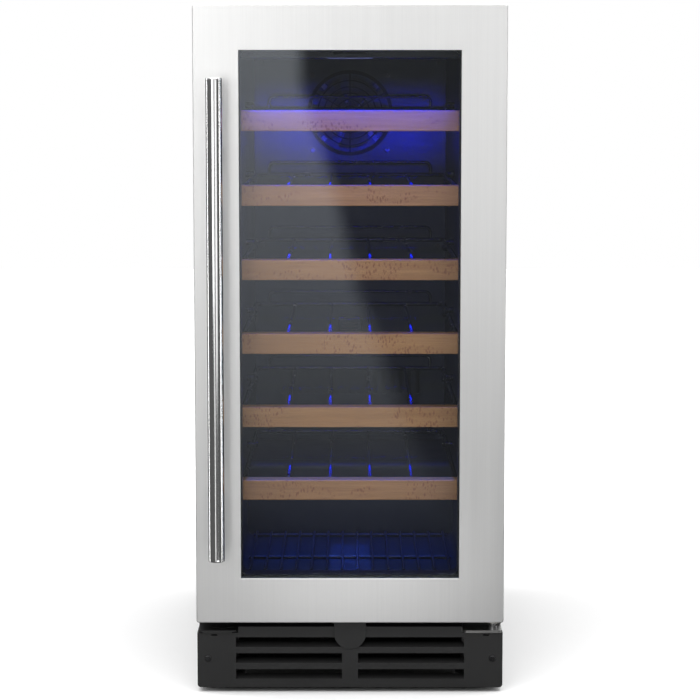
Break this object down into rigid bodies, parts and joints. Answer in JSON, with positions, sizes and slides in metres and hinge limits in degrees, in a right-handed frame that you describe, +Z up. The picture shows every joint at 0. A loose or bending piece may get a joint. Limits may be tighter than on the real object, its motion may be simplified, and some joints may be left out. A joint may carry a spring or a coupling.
{
  "type": "wine cooler",
  "caption": "Built-in wine cooler with a steel-framed glass door, tall round bar handle, sliding wood-fronted wire shelves and a slotted toe grille.",
  "frame": {"origin": "middle of the overall box's underside, on the floor under the feet", "axes": "+Z up; the door faces -Y; +X is the door's hinge side, so the handle is at -X"},
  "size_m": [0.38, 0.62, 0.85],
  "materials": {
    "stainless": "satin",
    "bright_steel": "polished",
    "case_paint": "satin",
    "zinc": "satin",
    "interior_plastic": "satin",
    "panel_plastic": "gloss",
    "toe_plastic": "matte",
    "door_plastic": "satin",
    "glazing": "gloss",
    "spacer_metal": "matte",
    "seal_rubber": "matte",
    "beech": "satin",
    "coated_wire": "satin",
    "peg_plastic": "gloss",
    "coil_metal": "satin",
    "copper": "satin",
    "compressor_paint": "satin",
    "fan_plastic": "satin",
    "motor_metal": "satin",
    "circuit_board": "satin",
    "light_diffuser": "satin",
    "rubber": "matte",
    "nylon": "satin",
    "foam": "matte",
    "foot_plastic": "matte"
  },
  "bodies": {
    "cabinet": {"back_panel": "zinc", "base_pan": "zinc", "case_screws": "zinc", "compressor": "compressor_paint", "compressor_grommets": "rubber", "condenser": "coil_metal", "condenser_fan_shroud": "fan_plastic", "control_board": "circuit_board", "control_housing": "panel_plastic", "cord_gland": "rubber", "display_window": "panel_plastic", "drain_tray": "interior_plastic", "duct_cover": "interior_plastic", "evaporator": "coil_metal", "fan_grille": "interior_plastic", "fan_motors": "motor_metal", "floor_rack": "coated_wire", "hinge_brackets": "zinc", "hinge_pins": "zinc", "insulation": "foam", "kick_plate": "toe_plastic", "kick_plate_tab": "toe_plastic", "light_lens": "light_diffuser", "liner": "interior_plastic", "machine_room_divider": "zinc", "outer_wrap": "case_paint", "rear_cover": "case_paint", "refrigerant_line": "copper", "shelf_pegs": "peg_plastic", "spare_hinge_cover": "toe_plastic"},
    "door": {"door_skin": "stainless", "door_liner": "door_plastic", "glass_panes": "glazing", "glass_spacer": "spacer_metal", "door_gasket": "seal_rubber", "handle_bar": "bright_steel", "handle_mounts": "bright_steel", "hinge_bushings": "nylon"},
    "circulation_fan": {"circulation_fan": "fan_plastic"},
    "condenser_fan": {"condenser_fan": "fan_plastic"},
    "shelf_1": {"shelf_1_front": "beech", "shelf_1_rack": "coated_wire"},
    "shelf_2": {"shelf_2_front": "beech", "shelf_2_rack": "coated_wire"},
    "shelf_3": {"shelf_3_front": "beech", "shelf_3_rack": "coated_wire"},
    "shelf_4": {"shelf_4_front": "beech", "shelf_4_rack": "coated_wire"},
    "shelf_5": {"shelf_5_front": "beech", "shelf_5_rack": "coated_wire"},
    "shelf_6": {"shelf_6_front": "beech", "shelf_6_rack": "coated_wire"},
    "button_1": {"button_1": "panel_plastic"},
    "button_2": {"button_2": "panel_plastic"},
    "button_3": {"button_3": "panel_plastic"},
    "button_4": {"button_4": "panel_plastic"},
    "foot_front_left": {"foot_front_left": "foot_plastic"},
    "foot_front_right": {"foot_front_right": "foot_plastic"},
    "foot_rear_left": {"foot_rear_left": "foot_plastic"},
    "foot_rear_right": {"foot_rear_right": "foot_plastic"}
  },
  "joints": [
    {"name": "door_hinge", "type": "hinge", "parent": "cabinet", "child": "door", "pos_m": [0.178, -0.244, 0.4705], "axis": [0, 0, 1], "range_deg": [0, 105]},
    {"name": "shelf_1_slide", "type": "slide", "parent": "cabinet", "child": "shelf_1", "axis": [0, -1, 0], "range_m": [0, 0.07056]},
    {"name": "shelf_2_slide", "type": "slide", "parent": "cabinet", "child": "shelf_2", "axis": [0, -1, 0], "range_m": [0, 0.07056]},
    {"name": "shelf_3_slide", "type": "slide", "parent": "cabinet", "child": "shelf_3", "axis": [0, -1, 0], "range_m": [0, 0.07056]},
    {"name": "shelf_4_slide", "type": "slide", "parent": "cabinet", "child": "shelf_4", "axis": [0, -1, 0], "range_m": [0, 0.07056]},
    {"name": "shelf_5_slide", "type": "slide", "parent": "cabinet", "child": "shelf_5", "axis": [0, -1, 0], "range_m": [0, 0.07056]},
    {"name": "shelf_6_slide", "type": "slide", "parent": "cabinet", "child": "shelf_6", "axis": [0, -1, 0], "range_m": [0, 0.07056]},
    {"name": "circulation_fan_spin", "type": "hinge", "parent": "cabinet", "child": "circulation_fan", "pos_m": [0, 0.238, 0.714], "axis": [0, 1, 0], "continuous": true},
    {"name": "condenser_fan_spin", "type": "hinge", "parent": "cabinet", "child": "condenser_fan", "pos_m": [-0.033, 0.193, 0.112], "axis": [1, 0, 0], "continuous": true},
    {"name": "button_1_press", "type": "slide", "parent": "cabinet", "child": "button_1", "axis": [0, 1, 0], "range_m": [0, 0.001], "stiffness_N_per_m": 400},
    {"name": "button_2_press", "type": "slide", "parent": "cabinet", "child": "button_2", "axis": [0, 1, 0], "range_m": [0, 0.001], "stiffness_N_per_m": 400},
    {"name": "button_3_press", "type": "slide", "parent": "cabinet", "child": "button_3", "axis": [0, 1, 0], "range_m": [0, 0.001], "stiffness_N_per_m": 400},
    {"name": "button_4_press", "type": "slide", "parent": "cabinet", "child": "button_4", "axis": [0, 1, 0], "range_m": [0, 0.001], "stiffness_N_per_m": 400},
    {"name": "foot_front_left_turn", "type": "hinge", "parent": "cabinet", "child": "foot_front_left", "pos_m": [-0.15, -0.178, 0.03], "axis": [0, 0, 1], "continuous": true},
    {"name": "foot_front_right_turn", "type": "hinge", "parent": "cabinet", "child": "foot_front_right", "pos_m": [0.15, -0.178, 0.03], "axis": [0, 0, 1], "continuous": true},
    {"name": "foot_rear_left_turn", "type": "hinge", "parent": "cabinet", "child": "foot_rear_left", "pos_m": [-0.15, 0.28, 0.03], "axis": [0, 0, 1], "continuous": true},
    {"name": "foot_rear_right_turn", "type": "hinge", "parent": "cabinet", "child": "foot_rear_right", "pos_m": [0.15, 0.28, 0.03], "axis": [0, 0, 1], "continuous": true}
  ],
  "couplings": [
    {"joint": "shelf_1_slide", "follows": "door_hinge", "m_per_rad": 0.0385},
    {"joint": "shelf_2_slide", "follows": "door_hinge", "m_per_rad": 0.0385},
    {"joint": "shelf_3_slide", "follows": "door_hinge", "m_per_rad": 0.0385},
    {"joint": "shelf_4_slide", "follows": "door_hinge", "m_per_rad": 0.0385},
    {"joint": "shelf_5_slide", "follows": "door_hinge", "m_per_rad": 0.0385},
    {"joint": "shelf_6_slide", "follows": "door_hinge", "m_per_rad": 0.0385}
  ]
}
